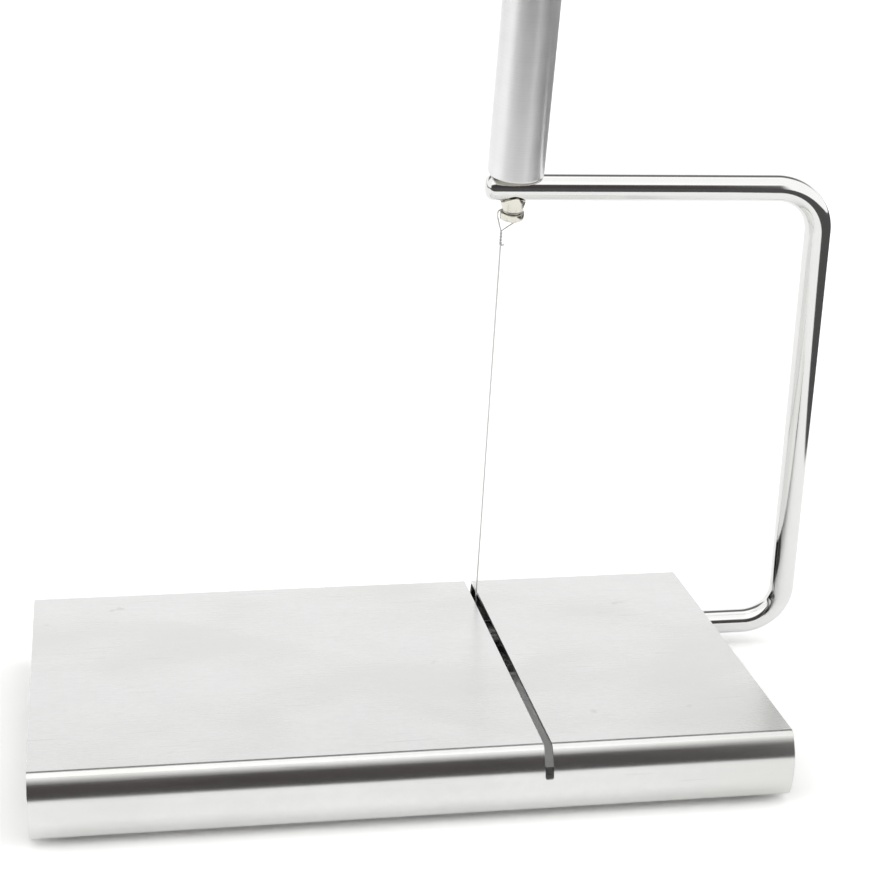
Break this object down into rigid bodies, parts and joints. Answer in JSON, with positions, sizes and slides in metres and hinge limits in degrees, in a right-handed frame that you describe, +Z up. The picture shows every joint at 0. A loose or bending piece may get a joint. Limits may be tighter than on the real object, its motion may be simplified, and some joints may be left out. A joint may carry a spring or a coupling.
{
  "type": "cheese wire cutter",
  "caption": "Folded satin steel cutting board with a slot, and a hinged polished rod bow that carries a taut cutting wire and a satin tensioning handle.",
  "frame": {"origin": "centre of the board's flat cutting face", "axes": "+X along the board's long side towards the bow's upright, +Y away from the user, +Z up out of the cutting face"},
  "size_m": [0.2491, 0.1362, 0.2644],
  "materials": {
    "board_steel": "fine satin",
    "polished_rod": "bright polished",
    "wire_steel": "drawn wire",
    "screw_steel": "plain bright",
    "washer_steel": "dull",
    "satin_aluminium": "satin anodised",
    "nickel_stud": "nickel plated",
    "plug_brass": "turned",
    "bearing_plastic": "machined acetal",
    "foot_rubber": "matt"
  },
  "bodies": {
    "base": {"board": "board_steel", "hinge_block_inner": "bearing_plastic", "hinge_block_outer": "bearing_plastic", "hinge_screws": "screw_steel", "foot_front_left": "foot_rubber", "foot_front_right": "foot_rubber", "foot_back_left": "foot_rubber", "foot_back_right": "foot_rubber"},
    "bow": {"bow": "polished_rod", "snap_rings": "screw_steel", "wire_ferrule": "screw_steel", "cutting_wire": "wire_steel"},
    "handle": {"handle_tube": "satin_aluminium", "handle_plug": "plug_brass", "handle_cap": "satin_aluminium", "handle_washer": "washer_steel"},
    "stud": {"tension_stud": "nickel_stud", "wire_loop": "wire_steel"}
  },
  "joints": [
    {"name": "bow_hinge", "type": "hinge", "parent": "base", "child": "bow", "pos_m": [0.03565, 0.0524, -0.01387], "axis": [1, 0, 0], "range_deg": [-84, 74.5]},
    {"name": "handle_turn", "type": "hinge", "parent": "bow", "child": "handle", "pos_m": [0.03866, 0.01697, 0.14032], "axis": [0.0192, -0.2239, 0.9744], "range_deg": [-180, 720]},
    {"name": "stud_slide", "type": "slide", "parent": "bow", "child": "stud", "axis": [0.0192, -0.2239, 0.9744], "range_m": [-0.00162, 0.00042], "deforming": ["cutting_wire"]}
  ],
  "couplings": [
    {"joint": "stud_slide", "follows": "handle_turn", "m_per_rad": -0.00012732}
  ]
}
